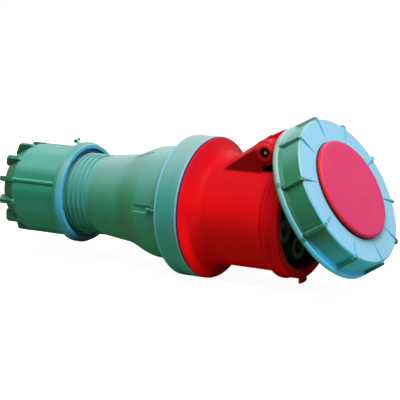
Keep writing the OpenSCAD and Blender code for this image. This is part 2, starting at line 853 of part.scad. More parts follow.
module lock_ring() {
    color("#4f9c84")
    swung() {
        spin([[-skirt_back, skirt_r + 0.8], [-skirt_back, rim_r - 0.8],
              [-skirt_back + 0.8, rim_r], [-skirt_back + rim_x1, rim_r],
              [-skirt_back + rim_x2, panel_r], [face_ahead - 1.2, panel_r],
              [face_ahead, panel_r - 1.2], [face_ahead, hub_r + ring_gap],
              [cap_front_x + seat_gap, hub_r + ring_gap], [cap_front_x + seat_gap, skirt_r],
              [-skirt_back + 0.8, skirt_r]]);
        // Grip ribs that run on over the front face
        for (i = [0 : ring_ribs - 1])
            rotate([i * 360 / ring_ribs, 0, 0])
                plate([[-skirt_back + 3, panel_r - 1.5], [-skirt_back + 3, rim_r - 0.1],
                       [face_ahead - 0.8, rim_r - 1.3], [face_ahead + rib_front, rim_r - 2.6],
                       [face_ahead + rib_front, panel_r - 3], [face_ahead - 0.3, panel_r - 11],
                       [face_ahead - 1, panel_r - 11], [face_ahead - 1, panel_r - 1.5]], ring_rib_w);
        // Hooks that pass between the lugs and turn in behind them
        for (a = lug_angles)
            rotate([90 - a + lock_turn, 0, 0])
                sector([[-skirt_back + 0.9, hook_r], [hook_front_x, hook_r],
                        [hook_front_x, skirt_r + 1], [-skirt_back + 0.9, skirt_r + 1]],
                       hook_half);
    }
}

module lid_disc() {
    color("#e2446a")
    swung() {
        // The edge is undercut, so that a dark line shows round the disc
        spin(concat([[face_ahead + seat_gap, 0], [face_ahead + seat_gap, disc_r - disc_undercut],
                     [face_ahead + seat_gap + disc_undercut, disc_r - disc_undercut],
                     [face_ahead + seat_gap + disc_undercut + 0.3, disc_r]],
                    bend([face_ahead + disc_t - 2.6, disc_r], [face_ahead + disc_t - 0.6, disc_r],
                         [face_ahead + disc_t - 0.3, disc_r - 2.8], 4),
                    [[face_ahead + disc_t, 0]]));
        bar(face_ahead - spigot_in, face_ahead + seat_gap + eps, disc_spigot_r);
    }
}

gland_nut();
gland_lock_screw();
thrust_ring();
gland_seal();
handle_shell();
housing_gasket();
housing_screws();
front_body();
carrier_plate();
line_sleeves();
neutral_sleeve();
earth_sleeve();
pilot_sleeve();
insert_rear();
phase_contacts();
earth_contact();
pilot_contact();
contact_springs();
terminal_screws();
insert_screws();
carrier_screws();
hinge_pin();
lid_cap();
lid_gasket();
lock_ring();
lid_disc();
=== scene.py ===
import math

import bpy
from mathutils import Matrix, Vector


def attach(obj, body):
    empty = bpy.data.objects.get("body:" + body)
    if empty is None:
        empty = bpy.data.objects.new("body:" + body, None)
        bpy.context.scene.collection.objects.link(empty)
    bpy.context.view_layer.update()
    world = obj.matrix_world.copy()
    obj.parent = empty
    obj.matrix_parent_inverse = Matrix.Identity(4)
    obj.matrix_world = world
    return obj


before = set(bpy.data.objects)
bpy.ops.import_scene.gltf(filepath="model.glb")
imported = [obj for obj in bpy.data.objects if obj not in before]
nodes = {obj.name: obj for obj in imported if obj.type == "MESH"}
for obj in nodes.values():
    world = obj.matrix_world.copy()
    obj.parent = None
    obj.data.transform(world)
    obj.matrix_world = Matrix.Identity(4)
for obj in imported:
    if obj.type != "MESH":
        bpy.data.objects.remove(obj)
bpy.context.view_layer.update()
scene = bpy.context.scene

# Sizes in metres, in the part's own frame: +X leaves the mouth, +Z is up, towards the hinge
MM = 0.001
FLOOR_Z = -70 * MM
SEAM_X = -101 * MM                  # joint of the two housings
BORE_R = 49.5 * MM                  # of the front housing's mouth
HINGE = Vector((-27.3, 0, 63.4)) * MM
PIN_RECESS_R = 4.1 * MM
HOOD_HALF = 31.5 * MM               # half of the hood's width
LID_OPEN = math.radians(29)
LID_AXIS = Vector((math.cos(LID_OPEN), 0, math.sin(LID_OPEN)))
# On the lid, stations count outwards from the plane where the closed lid meets the mouth
RING_RIM_END = -3.5 * MM            # from here the rim slopes down to the panels
RING_FACE = 20 * MM
RING_PANEL_R = 72.2 * MM
RING_RIBS = 10
DISC_TOP = 25.2 * MM
DISC_R = 48.6 * MM
FLANGE_X = SEAM_X - 26.5 * MM       # rear of the handle's flange
FLANGE_LEN = 24.4 * MM
NECK_X = SEAM_X - 200 * MM          # rear end of the neck
NECK_R = 38.8 * MM
NECK_THREAD_X = NECK_X + 3 * MM
NECK_THREAD_LEN = 69 * MM
THREAD_PITCH = 6 * MM
NUT_X = SEAM_X - 152.3 * MM         # front of the gland nut
NUT_FINS = -68 * MM                 # front end of its fins, from there
NUT_BORE_R = 41.6 * MM
NUT_EDGE_R = 45.5 * MM              # of the counterbore in its front


def on_open_lid(x, z):
    """Where a point of the closed lid stands on the open one."""
    dx, dz = x * MM - HINGE.x, z * MM - HINGE.z
    c, s = math.cos(LID_OPEN), math.sin(LID_OPEN)
    return Vector((HINGE.x + dx * c - dz * s, 0, HINGE.z + dx * s + dz * c))


LID_CENTRE = on_open_lid(0, 0)


def rgb(red, green, blue):
    """A linear colour from the 0 to 255 numbers of a swatch."""
    def linear(v):
        v /= 255
        return v / 12.92 if v <= 0.04045 else ((v + 0.055) / 1.055) ** 2.4
    return (linear(red), linear(green), linear(blue), 1.0)


def scaled(colour, amount):
    """A darker or lighter colour."""
    return tuple(c * amount for c in colour[:3]) + (1.0,)


class Nodes:
    """Puts nodes into a tree and feeds their sockets."""

    def __init__(self, tree):
        self.tree = tree

    def node(self, kind, **settings):
        made = self.tree.nodes.new(kind)
        for key, value in settings.items():
            setattr(made, key, value)
        return made

    def feed(self, socket, value):
        """Links an output to a socket, or sets the socket's own value; None leaves it."""
        if isinstance(value, bpy.types.NodeSocket):
            self.tree.links.new(value, socket)
        elif value is not None:
            socket.default_value = value

    def math(self, kind, a, b=None, c=None):
        made = self.node("ShaderNodeMath", operation=kind)
        for socket, value in zip(made.inputs, (a, b, c)):
            self.feed(socket, value)
        return made.outputs[0]

    def triple(self, *parts):
        """A vector from its three parts."""
        made = self.node("ShaderNodeCombineXYZ")
        for socket, part in zip(made.inputs, parts):
            self.feed(socket, part)
        return made.outputs[0]


class Shades(Nodes):
    """Puts together the node tree of one material."""

    def __init__(self, name):
        self.material = bpy.data.materials.new(name)
        self.material.use_nodes = True
        super().__init__(self.material.node_tree)
        self.tree.nodes.clear()
        given = self.node("ShaderNodeTexCoord").outputs
        self.coord, self.facing = given["Object"], given["Normal"]

    def vector(self, kind, a, b=None, out="Vector"):
        made = self.node("ShaderNodeVectorMath", operation=kind)
        self.feed(made.inputs[0], a)
        self.feed(made.inputs[1], b)
        return made.outputs[out]

    def ramp(self, value, low, high, to_low=0.0, to_high=1.0):
        """A smooth step of value from low to high, which may be below low."""
        made = self.node("ShaderNodeMapRange", interpolation_type="SMOOTHSTEP")
        for name, v in (("Value", value), ("From Min", low), ("From Max", high),
                        ("To Min", to_low), ("To Max", to_high)):
            self.feed(made.inputs[name], v)
        return made.outputs["Result"]

    def band(self, value, low, high, soft):
        """1 where value lies between low and high, with soft edges."""
        return self.both(self.ramp(value, low - soft, low + soft),
                         self.ramp(value, high + soft, high - soft))

    def both(self, *masks):
        """Where all of the masks hold."""
        shared = masks[0]
        for mask in masks[1:]:
            shared = self.math("MULTIPLY", shared, mask)
        return shared

    def blend(self, amount, a, b):
        """The colour a where amount is 0 and b where it is 1."""
        made = self.node("ShaderNodeMix", data_type="RGBA")
        self.feed(made.inputs[0], amount)
        self.feed(made.inputs[6], a)
        self.feed(made.inputs[7], b)
        return made.outputs[2]

    def noise(self, scale, detail=2.0, rough=0.5):
        made = self.node("ShaderNodeTexNoise")
        self.feed(made.inputs["Vector"], self.coord)
        self.feed(made.inputs["Scale"], scale)
        self.feed(made.inputs["Detail"], detail)
        self.feed(made.inputs["Roughness"], rough)
        return made.outputs["Fac"]

    def parts(self, vector):
        """The X, Y and Z of a vector."""
        made = self.node("ShaderNodeSeparateXYZ")
        self.feed(made.inputs[0], vector)
        return made.outputs

    def along(self, axis, origin):
        """Distance of the shaded point from origin along axis, and its radius about it."""
        away = self.vector("SUBTRACT", self.coord, tuple(origin))
        station = self.vector("DOT_PRODUCT", away, tuple(axis), out="Value")
        reach = self.vector("LENGTH", away, out="Value")
        radius = self.math("SQRT", self.math("SUBTRACT", self.math("MULTIPLY", reach, reach),
                                             self.math("MULTIPLY", station, station)))
        return station, radius

    def edges(self, width):
        """High on outer and inner edges, and the normal that rounds them."""
        bevel = self.node("ShaderNodeBevel", samples=6)
        self.feed(bevel.inputs["Radius"], width)
        flat = self.node("ShaderNodeNewGeometry").outputs["Normal"]
        match = self.vector("DOT_PRODUCT", bevel.outputs["Normal"], flat, out="Value")
        return self.ramp(match, 0.995, 0.80), bevel.outputs["Normal"]

    def bump(self, height, strength, distance, normal=None):
        made = self.node("ShaderNodeBump")
        self.feed(made.inputs["Strength"], strength)
        self.feed(made.inputs["Distance"], distance)
        self.feed(made.inputs["Height"], height)
        self.feed(made.inputs["Normal"], normal)
        return made.outputs["Normal"]

    def surface(self, colour, roughness, normal, **fixed):
        """Ends the tree in a Principled surface; fixed values stay on its own sockets."""
        shader = self.node("ShaderNodeBsdfPrincipled")
        self.feed(shader.inputs["Base Color"], colour)
        self.feed(shader.inputs["Roughness"], roughness)
        self.feed(shader.inputs["Normal"], normal)
        for name, value in fixed.items():
            self.feed(shader.inputs[name.replace("_", " ")], value)
        return self.end(shader)

    def end(self, shader):
        self.feed(self.node("ShaderNodeOutputMaterial").inputs["Surface"], shader.outputs[0])
        return self.material


def moulded(name, colour, worn, tint=None, roughness=0.46, edge=0.8 * MM, gloss=0.4, sheen=0.0):
    """Satin moulded plastic with a spark-eroded grain. tint(shades, colour) may paint zones,
    painted light and shade among them.
    """
    s = Shades(name)
    patch = s.ramp(s.noise(16, 3), 0.35, 0.65)
    shade = s.blend(patch, colour, scaled(colour, 0.90))
    if tint:
        shade = tint(s, shade)
    soft = None
    if edge:
        edge_amount, soft = s.edges(edge)
        scuff = s.both(edge_amount, s.ramp(s.noise(190, 4), 0.30, 0.75, 0.10, 0.45))
        shade = s.blend(scuff, shade, worn)
    dull = s.math("MULTIPLY_ADD", s.noise(45, 4, 0.6), 0.16, roughness - 0.08)
    grain = s.bump(s.noise(1500), 0.12, 0.12 * MM, soft)
    normal = s.bump(s.noise(60), 0.10, 0.6 * MM, grain)
    return s.surface(shade, dull, normal,
                     Specular_IOR_Level=gloss, Specular_Tint=(0.80, 0.96, 1.0, 1.0),
                     Sheen_Weight=sheen, Sheen_Roughness=0.45, Sheen_Tint=(0.86, 0.97, 1.0, 1.0))


def rubber(name, colour):
    """Matt moulded rubber."""
    s = Shades(name)
    shade = s.blend(s.ramp(s.noise(40, 3), 0.3, 0.7), colour, scaled(colour, 1.5))
    edge_amount, soft = s.edges(0.6 * MM)
    shade = s.blend(s.both(edge_amount, 0.3), shade, rgb(90, 90, 92))
    return s.surface(shade, 0.72, s.bump(s.noise(900, 3), 0.25, 0.2 * MM, soft))


def turned(name, colour, dark):
    """Turned metal: fine rings along the main axis, a little tarnish."""
    s = Shades(name)
    rings = s.node("ShaderNodeTexWave", wave_type="BANDS", bands_direction="X")
    s.feed(rings.inputs["Vector"], s.coord)
    s.feed(rings.inputs["Scale"], 130)
    s.feed(rings.inputs["Distortion"], 0.6)
    tarnish = s.ramp(s.noise(70, 4, 0.6), 0.42, 0.72)
    shade = s.blend(tarnish, colour, dark)
    edge_amount, soft = s.edges(0.3 * MM)
    shade = s.blend(s.both(edge_amount, 0.5), shade, rgb(240, 230, 205))
    rough = s.math("MULTIPLY_ADD", tarnish, 0.18, 0.24)
    normal = s.bump(rings.outputs["Fac"], 0.15, 0.05 * MM, soft)
    return s.surface(shade, rough, normal, Metallic=1.0)


def plated(name, colour, tint=None):
    """Zinc-plated steel, softly brushed with a few dull patches."""
    s = Shades(name)
    cloud = s.ramp(s.noise(300, 3), 0.35, 0.7)
    shade = s.blend(cloud, colour, scaled(colour, 0.8))
    if tint:
        shade = tint(s, shade)
    soft = s.edges(0.3 * MM)[1]
    rough = s.math("MULTIPLY_ADD", cloud, 0.15, 0.26)
    return s.surface(shade, rough, s.bump(s.noise(2500), 0.1, 0.05 * MM, soft), Metallic=1.0)


def green_painted_light(s, shade, pale, start, crown=0.0):
    """Green polyamide with painted light: a paler, greyer painted sheen where it faces up,
    and painted shade below and where it faces back.

    start is the rise from which the painted sheen begins, and crown adds a painted
    highlight on what faces straight up."""
    ahead, _, up = s.parts(s.facing)
    # Painted sheen where it faces up, and a painted highlight on top
    shade = s.blend(s.ramp(up, start, 1.15), shade, pale)
    if crown:
        shade = s.blend(s.ramp(up, 0.75, 1.05, 0, crown), shade, rgb(200, 222, 222))
    # Painted shade where it faces down and where it faces back
    shade = s.blend(s.ramp(up, -0.05, -0.80, 0, 0.85), shade, rgb(0, 142, 76))
    rear_shade = s.both(s.ramp(ahead, -0.04, -0.40, 0, 0.75), s.ramp(up, 0.60, 0.15, 0.1, 1))
    return s.blend(rear_shade, shade, rgb(8, 102, 44))


def ring_zones(s, shade):
    """The locking ring, with painted light: paler where it faces up, painted blue bounce
    light below, painted shade on the ledge, painted highlights on the rim behind it and on
    the face's edge and chamfer, a face painted as lit pale blue, and painted shadow round the
    disc.
    """
    station, radius = s.along(LID_AXIS, LID_CENTRE)
    y, z = s.parts(s.coord)[1:]
    # How far the ring's outside faces up at this place, from -1 to 1
    above = s.math("MULTIPLY_ADD", station, -LID_AXIS.z, s.math("SUBTRACT", z, LID_CENTRE.z))
    up = s.math("DIVIDE", above, radius)
    # Painted sheen: paler where the ring faces up
    shade = s.blend(s.ramp(up, 0.38, 0.88), shade, rgb(85, 134, 129))

    # Painted blue bounce light where it faces down, apart from the ribs' tops
    rib_top = s.both(s.ramp(radius, RING_PANEL_R + 0.3 * MM, RING_PANEL_R + 0.8 * MM),
                     s.ramp(station, -0.9 * MM, -0.5 * MM))
    below = s.both(s.ramp(up, -0.30, -0.90), s.math("SUBTRACT", 1.0, rib_top))
    shade = s.blend(below, shade, rgb(48, 188, 214))

    # Painted shade on the ledge: deep green, with painted blue bounce light low down
    ledge = s.both(s.ramp(station, RING_RIM_END + 0.2 * MM, RING_RIM_END + 1.0 * MM),
                   s.ramp(station, 0.0, -0.4 * MM), s.ramp(up, 0.78, 0.58))
    deep = s.blend(s.ramp(up, -0.1, 0.6), rgb(2, 62, 38), rgb(24, 92, 70))
    deep = s.blend(s.ramp(z, 2 * MM, -26 * MM), deep, rgb(50, 162, 220))
    shade = s.blend(ledge, shade, deep)

    # Painted highlight on the rim behind the ledge, greyer high up and blue low down; the ribs run
    # on across the pale rim
    turn = s.math("ARCTAN2", y, s.math("MULTIPLY", up, radius))
    off_rib = s.math("MULTIPLY", s.math("PINGPONG", turn, math.pi / RING_RIBS), radius)
    rim = s.both(s.ramp(station, RING_RIM_END - 4.1 * MM, RING_RIM_END - 1.3 * MM),
                 s.ramp(station, RING_RIM_END + 1.2 * MM, RING_RIM_END + 0.4 * MM),
                 s.ramp(off_rib, 1.6 * MM, 2.6 * MM, 0.15, 1),
                 s.ramp(radius, RING_PANEL_R + 2.6 * MM, RING_PANEL_R + 3.6 * MM))
    pale = s.blend(s.ramp(z, -28 * MM, 15 * MM), rgb(94, 208, 255), rgb(88, 154, 172))
    pale = s.blend(s.ramp(z, 15 * MM, 56 * MM), pale, rgb(120, 148, 143))
    shade = s.blend(rim, shade, pale)

    off_ribs = s.ramp(radius, RING_PANEL_R + 0.5 * MM, RING_PANEL_R + 0.2 * MM)
    # Painted highlight along the front edge of the panels where they face up
    edge = s.both(s.ramp(station, RING_FACE - 2.3 * MM, RING_FACE - 1.9 * MM),
                  s.ramp(up, -0.1, 0.25), off_ribs)
    shade = s.blend(edge, shade, rgb(118, 166, 156))

    # The face is painted as lit pale blue, with a painted highlight on its chamfer and painted
    # shadow round the disc
    chamfer = s.blend(s.ramp(up, -0.2, 0.3), rgb(70, 158, 186), rgb(102, 145, 155))
    face = s.blend(s.ramp(radius, RING_PANEL_R - 1.9 * MM, RING_PANEL_R - 1.4 * MM),
                   rgb(115, 166, 190), chamfer)
    disc_shadow = s.ramp(radius, DISC_R + 0.9 * MM, DISC_R + 0.5 * MM)
    face = s.blend(disc_shadow, face, rgb(60, 40, 60))
    front = s.both(s.ramp(station, RING_FACE - 1.3 * MM, RING_FACE - 0.7 * MM), off_ribs)
    return s.blend(front, shade, face)


def tail_zones(s, shade):
    """The tails of the ribs carry painted shade, deep blue, on their flanks."""
    straight = s.vector("DOT_PRODUCT", s.facing, tuple(LID_AXIS), out="Value")
    return s.blend(s.ramp(straight, 0.97, 0.90), shade, rgb(48, 118, 164))


def disc_zones(s, shade):
    """The disc turns orange red on its rounded edge, and carries painted shadow at its foot."""
    station, radius = s.along(LID_AXIS, LID_CENTRE)
    face = s.both(s.ramp(radius, DISC_R - 0.3 * MM, DISC_R - 1.4 * MM),
                  s.ramp(station, DISC_TOP - 1.3 * MM, DISC_TOP - 0.5 * MM))
    shade = s.blend(face, rgb(176, 36, 36), shade)
    # Painted shadow at the foot, under the rounded edge
    foot = s.ramp(station, DISC_TOP - 3.2 * MM, DISC_TOP - 3.5 * MM)
    return s.blend(foot, shade, rgb(56, 4, 14))


def nut_zones(s, shade):
    """The gland nut, with painted light: painted shade on the fins, and a front rim with a painted
    highlight on its bevel, a face painted as lit blue and painted shade, dark blue, in the bore.
    """
    shade = green_painted_light(s, shade, rgb(90, 146, 142), 0.15)
    # Painted bounce light: lighter where it faces down
    low = s.ramp(s.parts(s.facing)[2], 0.10, -0.40, 0, 0.5)
    shade = s.blend(low, shade, rgb(50, 136, 120))
    station, radius = s.along((1, 0, 0), (NUT_X, 0, 0))
    z = s.parts(s.coord)[2]
    # Painted shade on the fins
    fins = s.ramp(station, NUT_FINS + 1.5 * MM, NUT_FINS - 1.0 * MM, 0, 0.8)
    shade = s.blend(fins, shade, rgb(4, 80, 44))

    # Painted highlight on the rim's bevel, pale high up and blue lower, with painted shade at the
    # bottom
    bevel = s.both(s.ramp(station, -6.4 * MM, -5.0 * MM),
                   s.ramp(radius, NUT_EDGE_R + 1.5 * MM, NUT_EDGE_R + 2.5 * MM))
    pale = s.blend(s.ramp(z, -20 * MM, 36 * MM), rgb(50, 138, 168), rgb(76, 124, 116))
    pale = s.blend(s.ramp(z, -36 * MM, -48 * MM), pale, rgb(2, 64, 58))
    shade = s.blend(bevel, shade, pale)

    # The front face is painted as lit blue, darker towards the bottom as painted shade
    face = s.blend(s.ramp(z, -30 * MM, -46 * MM), rgb(70, 150, 188), rgb(18, 78, 80))
    shade = s.blend(s.ramp(station, -0.9 * MM, -0.3 * MM), shade, face)

    # Painted shade, dark blue, in the bore and the counterbore
    bore = s.both(s.ramp(station, -24 * MM, -16 * MM),
                  s.ramp(radius, NUT_BORE_R + 1.4 * MM, NUT_BORE_R + 0.9 * MM))
    counterbore = s.both(s.ramp(station, -4.8 * MM, -4.4 * MM),
                         s.ramp(radius, NUT_EDGE_R + 0.2 * MM, NUT_EDGE_R - 0.1 * MM))
    return s.blend(s.math("MAXIMUM", bore, counterbore), shade, rgb(38, 104, 142))


def handle_zones(s, shade):
    """The handle, with painted light: a bluer thread, and a bluer flange painted paler where it
    faces up, with painted highlights in pale blue on its front and rear edge.
    """
    shade = green_painted_light(s, shade, rgb(101, 139, 135), 0.0, 0.15)
    station, radius = s.along((1, 0, 0), (FLANGE_X, 0, 0))
    thread_end = NECK_THREAD_X + NECK_THREAD_LEN - FLANGE_X
    on_thread = s.ramp(station, thread_end + 3 * MM, thread_end - 1 * MM, 0, 0.4)
    shade = s.blend(on_thread, shade, rgb(56, 132, 136))

    # Painted light on the flange: paler where it faces up, a painted bounce below
    up = s.parts(s.facing)[2]
    paint = s.blend(s.ramp(up, 0.2, 1.1), rgb(44, 120, 112), rgb(112, 140, 138))
    paint = s.blend(s.ramp(up, -0.1, -0.6), paint, rgb(36, 140, 118))
    shade = s.blend(s.ramp(station, 0.2 * MM, 1.6 * MM), shade, paint)
    # Painted highlights on the flange's front and rear edge
    front_edge_highlight = s.ramp(station, FLANGE_LEN - 0.8 * MM, FLANGE_LEN, 0, 0.8)
    shade = s.blend(front_edge_highlight, shade, rgb(112, 146, 170))
    rear_edge_highlight = s.both(s.ramp(station, 3.2 * MM, 2.2 * MM), s.ramp(radius, 66.6 * MM, 67.4 * MM))
    return s.blend(rear_edge_highlight, shade, rgb(96, 158, 184))


def pin_distance(s):
    """Distance from the axis of the hinge pin."""
    away = s.vector("MULTIPLY", s.vector("SUBTRACT", s.coord, tuple(HINGE)), (1, 0, 1))
    return s.vector("LENGTH", away, out="Value")


def pin_zones(s, shade):
    """The pin's ends carry painted shade round their edge."""
    return s.blend(s.ramp(pin_distance(s), 1.3 * MM, 1.7 * MM), shade, rgb(50, 30, 28))


def hood_side(s, x, z):
    """Colour of the hood's sides, all painted light: lit along their crest, a painted highlight
    on the boss low down, and painted shade below and round the pin.
    """
    from_pin = pin_distance(s)
    up_slope = s.vector("DOT_PRODUCT", s.coord, (-0.524, 0, 0.852), out="Value")
    crest = s.math("MAXIMUM", s.ramp(up_slope, 75.3 * MM, 77.6 * MM),
                   s.both(s.ramp(from_pin, 5.0 * MM, 7.0 * MM), s.ramp(z, 62 * MM, 70 * MM)))
    # Painted shade on the flank, lit along its crest
    flank = s.blend(crest, rgb(104, 5, 9), rgb(196, 40, 44))
    # Painted highlight on the ring of the boss, low down round the pin
    boss = s.both(s.band(from_pin, 5.4 * MM, 8.0 * MM, 0.8 * MM),
                  s.ramp(z, 65 * MM, 61 * MM, 0, 0.7))
    flank = s.blend(boss, flank, rgb(164, 6, 12))
    # Painted shade round the pin
    pin_shadow = s.ramp(from_pin, PIN_RECESS_R + 1.3 * MM, PIN_RECESS_R + 0.5 * MM)
    return s.blend(pin_shadow, flank, rgb(52, 2, 4))


def housing_zones(s, shade):
    """The front housing, with painted light: darker where it faces up and brighter below, painted
    light and shade on the hood with its pin, the flange's rim painted lit with painted shade
    behind it, painted shade in the mouth, and the seam.
    """
    up = s.parts(s.facing)[2]
    # Painted light: darker where it faces up, brighter where it faces down
    shade = s.blend(s.ramp(up, 0.25, 0.75), shade, rgb(166, 14, 24))
    shade = s.blend(s.ramp(up, -0.05, -0.75), shade, rgb(208, 8, 8))
    x, y, z = s.parts(s.coord)
    out = s.math("ABSOLUTE", y)
    radius = s.along((1, 0, 0), (0, 0, 0))[1]

    side = s.both(s.ramp(out, HOOD_HALF - 0.5 * MM, HOOD_HALF - 0.05 * MM),
                  s.ramp(out, HOOD_HALF + 2.1 * MM, HOOD_HALF + 1.7 * MM),
                  s.ramp(z, 43 * MM, 46 * MM), s.band(x, -81 * MM, -15 * MM, 0.5 * MM))
    shade = s.blend(side, shade, hood_side(s, x, z))
    # Painted shade in the corner in front of the cheek
    nook_shade = s.both(s.band(x, -31.2 * MM, -15 * MM, 0.3 * MM), s.band(z, 45 * MM, 56 * MM, 1 * MM),
                  s.ramp(out, HOOD_HALF - 0.1 * MM, HOOD_HALF - 0.5 * MM))
    shade = s.blend(nook_shade, shade, rgb(90, 4, 10))
    # Painted shade in the pin's recess
    pin_recess_shade = s.both(s.ramp(pin_distance(s), PIN_RECESS_R + 0.5 * MM, PIN_RECESS_R + 0.2 * MM),
                        s.ramp(out, 24 * MM, 25 * MM))
    shade = s.blend(pin_recess_shade, shade, rgb(40, 2, 4))

    # Painted light on the rim of the flange, brightest low down
    flange = s.both(s.ramp(x, SEAM_X + 15 * MM, SEAM_X + 11 * MM),
                    s.ramp(radius, 59.5 * MM, 63.0 * MM))
    lip = s.blend(s.ramp(z, 8 * MM, -30 * MM), rgb(196, 10, 18), rgb(250, 12, 12))
    lip = s.blend(s.ramp(z, 18 * MM, 48 * MM), lip, rgb(164, 12, 26))
    shade = s.blend(flange, shade, lip)
    # Painted shade in the hollow behind the flange's rim
    valley_shade = s.both(s.ramp(z, 14 * MM, 44 * MM),
                    s.band(x, SEAM_X + 8 * MM, SEAM_X + 15 * MM, 3 * MM), 0.8)
    shade = s.blend(valley_shade, shade, rgb(168, 4, 16))

    # Painted shade inside the mouth
    bore = s.both(s.ramp(radius, BORE_R + 0.7 * MM, BORE_R + 0.4 * MM),
                  s.ramp(x, -1 * MM, -9 * MM))
    shade = s.blend(bore, shade, rgb(26, 5, 9))
    # Painted shade low down on the front round the mouth
    collar_shade = s.both(s.ramp(x, -22 * MM, -12 * MM),
                    s.ramp(radius, BORE_R + 0.5 * MM, BORE_R + 1.5 * MM),
                    s.ramp(z, -44 * MM, -16 * MM, 0, 0.32))
    shade = s.blend(collar_shade, shade, rgb(110, 2, 6))
    seam = s.both(s.ramp(x, SEAM_X + 1.6 * MM, SEAM_X + 1.2 * MM),
                  s.ramp(radius, 60 * MM, 62 * MM))
    return s.blend(seam, shade, rgb(46, 14, 58))


GREEN_WORN = rgb(90, 160, 136)
RED_WORN = rgb(200, 50, 46)

green_handle = moulded("green handle moulding", rgb(38, 119, 92), GREEN_WORN, handle_zones,
                       gloss=0.36, sheen=0.07)
green_nut = moulded("green nut moulding", rgb(28, 116, 88), GREEN_WORN, nut_zones, gloss=0.28)
green_ring = moulded("green ring moulding", rgb(28, 99, 69), rgb(110, 170, 150), ring_zones,
                     gloss=0.3, sheen=0.1)
# The rib tails are coloured in the painted lit pale blue of the ring's face
blue_tails = moulded("blue rib tails", rgb(115, 163, 186), rgb(110, 170, 200), tail_zones,
                     gloss=0.3)
red_housing = moulded("red housing moulding", rgb(190, 12, 16), RED_WORN, housing_zones,
                      roughness=0.44, gloss=0.02)
red_lid = moulded("red lid moulding", rgb(182, 12, 16), RED_WORN, roughness=0.40, gloss=0.04)
pink_disc = moulded("pinkish red disc", rgb(185, 44, 89), rgb(200, 70, 60), disc_zones,
                    roughness=0.40, edge=None, gloss=0.1)
dark_carrier = moulded("dark contact carrier", rgb(22, 70, 50), rgb(34, 82, 62),
                       roughness=0.55, gloss=0.1)
grey_gland = moulded("grey thrust ring", rgb(96, 98, 100), rgb(150, 150, 150), roughness=0.50)
purple_gasket = rubber("dark housing gasket", rgb(48, 30, 62))
black_rubber = rubber("black rubber", rgb(26, 26, 28))
brass = turned("turned brass", rgb(214, 176, 104), rgb(168, 122, 66))
steel = plated("zinc-plated steel", rgb(206, 210, 212))
green_steel = plated("green passivated steel", rgb(70, 138, 114))
pin_steel = plated("dull pin steel", rgb(140, 150, 142), pin_zones)

FINISHES = {
    "gland_nut": green_nut, "handle_shell": green_handle, "lock_ring": green_ring,
    "front_body": red_housing, "lid_cap": red_lid, "lid_disc": pink_disc,
    "carrier_plate": dark_carrier, "insert_rear": dark_carrier, "line_sleeves": dark_carrier,
    "neutral_sleeve": dark_carrier, "earth_sleeve": dark_carrier, "pilot_sleeve": dark_carrier,
    "gland_seal": black_rubber, "lid_gasket": black_rubber, "housing_gasket": purple_gasket,
    "thrust_ring": grey_gland,
    "phase_contacts": brass, "earth_contact": brass, "pilot_contact": brass,
    "contact_springs": steel, "terminal_screws": steel, "insert_screws": steel,
    "carrier_screws": steel, "hinge_pin": pin_steel, "housing_screws": green_steel,
    "gland_lock_screw": green_steel,
}


def smooth(obj):
    """Merges a solid's loose triangles and shades its curved faces smoothly."""
    weld = obj.modifiers.new("weld", "WELD")
    weld.merge_threshold = 0.002 * MM
    for face in obj.data.polygons:
        face.use_smooth = True
    split = obj.modifiers.new("sharp edges", "EDGE_SPLIT")
    split.split_angle = math.radians(30)
    split.use_edge_sharp = False
    obj.modifiers.new("flat faces stay flat", "WEIGHTED_NORMAL").keep_sharp = True


for name, finish in FINISHES.items():
    obj = nodes[name]
    obj.data.materials.clear()
    obj.data.materials.append(finish)
    smooth(obj)


class Growth(Nodes):
    """Puts together a Geometry Nodes tree with named inputs and a finish."""

    def __init__(self, name, inputs):
        super().__init__(bpy.data.node_groups.new(name, "GeometryNodeTree"))
        self.identifiers = {}
        for label, value in inputs.items():
            kind = "NodeSocketInt" if isinstance(value, int) else "NodeSocketFloat"
            self.input(label, kind).default_value = value
        self.input("Finish", "NodeSocketMaterial")
        self.tree.interface.new_socket("Geometry", in_out="OUTPUT",
                                       socket_type="NodeSocketGeometry")
        self.given = self.node("NodeGroupInput").outputs

    def input(self, label, kind):
        socket = self.tree.interface.new_socket(label, in_out="INPUT", socket_type=kind)
        self.identifiers[label] = socket.identifier
        return socket

    def placed(self, shape, turn, shift):
        """Turns a shape by three angles, then moves it."""
        made = self.node("GeometryNodeTransform")
        self.feed(made.inputs["Geometry"], shape)
        self.feed(made.inputs["Rotation"], self.triple(*turn))
        self.feed(made.inputs["Translation"], self.triple(*shift))
        return made.outputs[0]

    def end(self, shape):
        real = self.node("GeometryNodeRealizeInstances")
        self.feed(real.inputs[0], shape)
        coat = self.node("GeometryNodeSetMaterial")
        self.feed(coat.inputs["Geometry"], real.outputs[0])
        self.feed(coat.inputs["Material"], self.given["Finish"])
        self.feed(self.node("NodeGroupOutput").inputs[0], coat.outputs[0])


